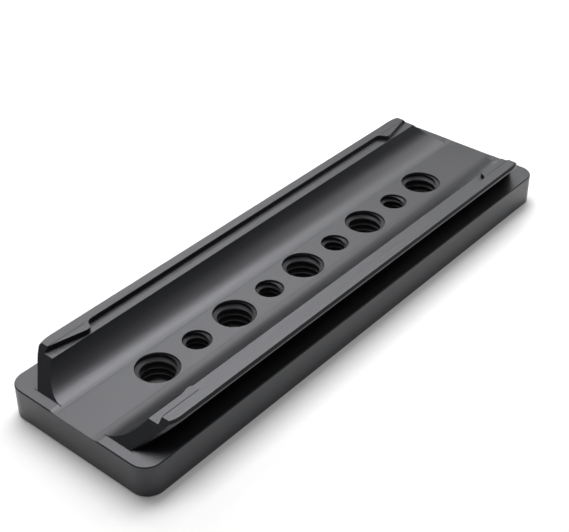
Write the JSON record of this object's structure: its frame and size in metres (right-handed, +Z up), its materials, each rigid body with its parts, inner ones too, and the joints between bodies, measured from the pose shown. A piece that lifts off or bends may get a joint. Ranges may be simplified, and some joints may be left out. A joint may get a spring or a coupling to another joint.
{
  "type": "camera base plate",
  "caption": "Long dovetail base plate for a camera or lens, with raised undercut rails, a round-sided channel and a line of tapped holes.",
  "frame": {"origin": "bottom centre of the plate, on its flat underside", "axes": "+X along the rails, +Y across the plate, +Z up out of the underside towards the rails"},
  "size_m": [0.14, 0.0398, 0.0137],
  "materials": {
    "black_anodised": "satin black anodised"
  },
  "bodies": {
    "root": {"base_plate": "black_anodised"}
  },
  "joints": []
}
